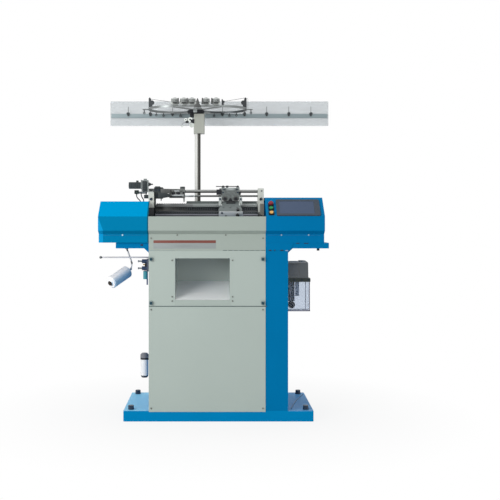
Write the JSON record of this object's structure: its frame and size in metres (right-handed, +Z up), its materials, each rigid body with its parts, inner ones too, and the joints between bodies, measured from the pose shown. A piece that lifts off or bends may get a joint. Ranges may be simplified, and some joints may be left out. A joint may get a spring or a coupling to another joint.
{
  "type": "glove knitting machine",
  "caption": "Floor-standing V-bed glove knitting machine: blue cabinet with a glove chute, sloped control face, sliding cam carriage on rods and a yarn stand with a guide board.",
  "frame": {"origin": "floor point under the middle of the base plinth", "axes": "+X to the operator's right, +Y away from the operator, +Z up"},
  "size_m": [1.44, 0.6881, 1.97],
  "materials": {
    "blue_paint": "semi-gloss",
    "grey_paint": "fine texture",
    "stainless": "brushed",
    "dark_steel": "oiled",
    "latch_plastic": "matte",
    "screw_steel": "bright",
    "black_plastic": "matte",
    "screen_glass": "gloss",
    "red_plastic": "gloss",
    "green_plastic": "gloss",
    "yellow_plastic": "gloss",
    "bright_steel": "ground",
    "cream_paint": "gloss",
    "chrome": "polished",
    "cast_metal": "cast",
    "cable_rubber": "matte",
    "pulley_metal": "machined",
    "hoop_metal": "satin",
    "clear_board": "clear",
    "clear_tank": "clear",
    "bowl_plastic": "translucent",
    "yarn": "wound thread"
  },
  "bodies": {
    "machine": {"base_plinth": "blue_paint", "levelling_bolts": "dark_steel", "left_frame_panel": "blue_paint", "right_frame_panel": "blue_paint", "back_panel": "blue_paint", "bed_table": "blue_paint", "left_cover": "blue_paint", "right_cover": "blue_paint", "upper_front_cover": "grey_paint", "middle_front_panel": "grey_paint", "lower_front_panel": "grey_paint", "glove_chute": "stainless", "panel_screws": "screw_steel", "control_bezels": "black_plastic", "display_screen": "screen_glass", "bed_rails": "dark_steel", "front_needle_bed": "bright_steel", "rear_needle_bed": "bright_steel", "needles": "bright_steel", "left_bracket": "cream_paint", "right_bracket": "cream_paint", "guide_rods": "chrome", "stop_block": "black_plastic", "feeder_motor": "black_plastic", "motor_bracket": "stainless", "motor_leads": "cable_rubber", "drive_motor": "dark_steel", "idler_bracket": "dark_steel", "drive_belt": "cable_rubber", "stand_post": "chrome", "stand_collar": "cream_paint", "yarn_hoop": "hoop_metal", "tension_units": "dark_steel", "yarn_eyelets": "dark_steel", "guide_board": "clear_board", "guide_rail": "stainless", "rail_guides": "dark_steel", "oil_pump_head": "black_plastic", "oil_tank": "clear_tank", "valve_block": "pulley_metal", "air_filter": "black_plastic", "filter_bowl": "bowl_plastic", "side_rods": "stainless"},
    "carriage": {"carriage_block": "cast_metal", "cam_boxes": "cast_metal", "carriage_plate": "cast_metal", "carriage_fittings": "black_plastic"},
    "feeder": {"feeder_slider": "cast_metal"},
    "drive_wheel": {"drive_pulley": "pulley_metal"},
    "idler_wheel": {"idler_pulley": "pulley_metal"},
    "stop_push": {"stop_button": "red_plastic"},
    "start_push": {"start_button": "green_plastic"},
    "jog_push": {"jog_button": "yellow_plastic"},
    "turn_upper_left": {"latch_upper_left": "latch_plastic"},
    "turn_upper_right": {"latch_upper_right": "latch_plastic"},
    "turn_lower_left": {"latch_lower_left": "latch_plastic"},
    "turn_lower_right": {"latch_lower_right": "latch_plastic"},
    "bobbin": {"yarn_bobbin": "yarn"},
    "knob_upper": {"valve_knob_upper": "black_plastic"},
    "knob_lower": {"valve_knob_lower": "black_plastic"}
  },
  "joints": [
    {"name": "carriage_slide", "type": "slide", "parent": "machine", "child": "carriage", "axis": [1, 0, 0], "range_m": [-0.15, 0.09]},
    {"name": "drive_turn", "type": "hinge", "parent": "machine", "child": "drive_wheel", "pos_m": [0.42, 0.115, 1.21], "axis": [0, 1, 0], "range_deg": [-440, 270]},
    {"name": "idler_turn", "type": "hinge", "parent": "machine", "child": "idler_wheel", "pos_m": [-0.47, 0.115, 1.21], "axis": [0, 1, 0], "range_deg": [-440, 270]},
    {"name": "feeder_slide", "type": "slide", "parent": "machine", "child": "feeder", "axis": [1, 0, 0], "range_m": [-0.03, 0.02]},
    {"name": "stop_push_in", "type": "slide", "parent": "machine", "child": "stop_push", "axis": [0, 0.6314, -0.7754], "range_m": [0, 0.004], "stiffness_N_per_m": 900},
    {"name": "start_push_in", "type": "slide", "parent": "machine", "child": "start_push", "axis": [0, 0.6314, -0.7754], "range_m": [0, 0.004], "stiffness_N_per_m": 600},
    {"name": "jog_push_in", "type": "slide", "parent": "machine", "child": "jog_push", "axis": [0, 0.6314, -0.7754], "range_m": [0, 0.004], "stiffness_N_per_m": 600},
    {"name": "turn_upper_left_90", "type": "hinge", "parent": "machine", "child": "turn_upper_left", "pos_m": [-0.395, -0.303, 0.956], "axis": [0, 1, 0], "range_deg": [0, 90]},
    {"name": "turn_upper_right_90", "type": "hinge", "parent": "machine", "child": "turn_upper_right", "pos_m": [0.262, -0.303, 0.956], "axis": [0, 1, 0], "range_deg": [0, 90]},
    {"name": "turn_lower_left_90", "type": "hinge", "parent": "machine", "child": "turn_lower_left", "pos_m": [-0.395, -0.303, 0.698], "axis": [0, 1, 0], "range_deg": [0, 90]},
    {"name": "turn_lower_right_90", "type": "hinge", "parent": "machine", "child": "turn_lower_right", "pos_m": [0.262, -0.303, 0.698], "axis": [0, 1, 0], "range_deg": [0, 90]},
    {"name": "bobbin_spin", "type": "hinge", "parent": "machine", "child": "bobbin", "pos_m": [-0.549, -0.1, 0.876], "axis": [-0.5778, -0.7075, -0.4068], "continuous": true},
    {"name": "knob_upper_turn", "type": "hinge", "parent": "machine", "child": "knob_upper", "pos_m": [-0.44, -0.2, 0.939], "axis": [1, 0, 0], "range_deg": [0, 270]},
    {"name": "knob_lower_turn", "type": "hinge", "parent": "machine", "child": "knob_lower", "pos_m": [-0.44, -0.2, 0.897], "axis": [1, 0, 0], "range_deg": [0, 270]}
  ],
  "couplings": [
    {"joint": "drive_turn", "follows": "carriage_slide", "rad_per_m": 46.512},
    {"joint": "idler_turn", "follows": "carriage_slide", "rad_per_m": 46.512}
  ]
}
